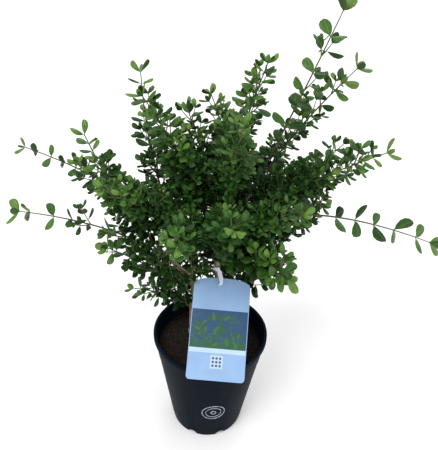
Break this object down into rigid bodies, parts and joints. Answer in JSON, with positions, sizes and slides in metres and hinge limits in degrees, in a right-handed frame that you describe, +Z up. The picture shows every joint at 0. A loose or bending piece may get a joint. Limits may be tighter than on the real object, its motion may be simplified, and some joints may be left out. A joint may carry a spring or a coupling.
{
  "type": "potted boxwood shrub",
  "caption": "Young box shrub with small paired evergreen leaves, in a round tapered nursery pot with a blank picture label.",
  "frame": {"origin": "middle of the pot's flat underside, on the surface it stands on", "axes": "+Z up along the pot's axis; -Y towards the side that the label faces; +X to the right seen from there"},
  "size_m": [0.4674, 0.2763, 0.5288],
  "materials": {
    "pot": "satin, blue-black",
    "soil": "loose, dark brown potting mix",
    "label": "semi-gloss card with a plain printed picture",
    "bark": "rough, pale beige-brown bark",
    "foliage": "leathery, slightly glossy green"
  },
  "bodies": {
    "root": {"bough_back_high": "bark", "bough_back_left": "bark", "bough_back_mid": "bark", "bough_back_right": "bark", "bough_front_left": "bark", "bough_front_mid": "bark", "bough_front_right": "bark", "bough_front_right_low": "bark", "bough_front_top": "bark", "bough_left_front": "bark", "bough_left_long": "bark", "bough_left_low": "bark", "bough_left_tall": "bark", "bough_left_top": "bark", "bough_left_upper": "bark", "bough_right_back": "bark", "bough_right_long": "bark", "bough_right_mid": "bark", "bough_right_top": "bark", "bough_right_upper": "bark", "bough_top_left": "bark", "bough_top_right_long": "bark", "foliage_back_high": "foliage", "foliage_back_left": "foliage", "foliage_back_mid": "foliage", "foliage_back_right": "foliage", "foliage_front_left": "foliage", "foliage_front_mid": "foliage", "foliage_front_right": "foliage", "foliage_front_right_low": "foliage", "foliage_front_top": "foliage", "foliage_left_front": "foliage", "foliage_left_long": "foliage", "foliage_left_low": "foliage", "foliage_left_tall": "foliage", "foliage_left_top": "foliage", "foliage_left_upper": "foliage", "foliage_low_back": "foliage", "foliage_low_back_left": "foliage", "foliage_low_left": "foliage", "foliage_low_right": "foliage", "foliage_right_back": "foliage", "foliage_right_long": "foliage", "foliage_right_mid": "foliage", "foliage_right_top": "foliage", "foliage_right_upper": "foliage", "foliage_top_inner": "foliage", "foliage_top_left": "foliage", "foliage_top_mid": "foliage", "foliage_top_right_long": "foliage", "foliage_upper_left": "foliage", "label": "label", "pot": "pot", "soil": "soil", "stem_back": "bark", "stem_left": "bark", "trunk": "bark"}
  },
  "joints": []
}
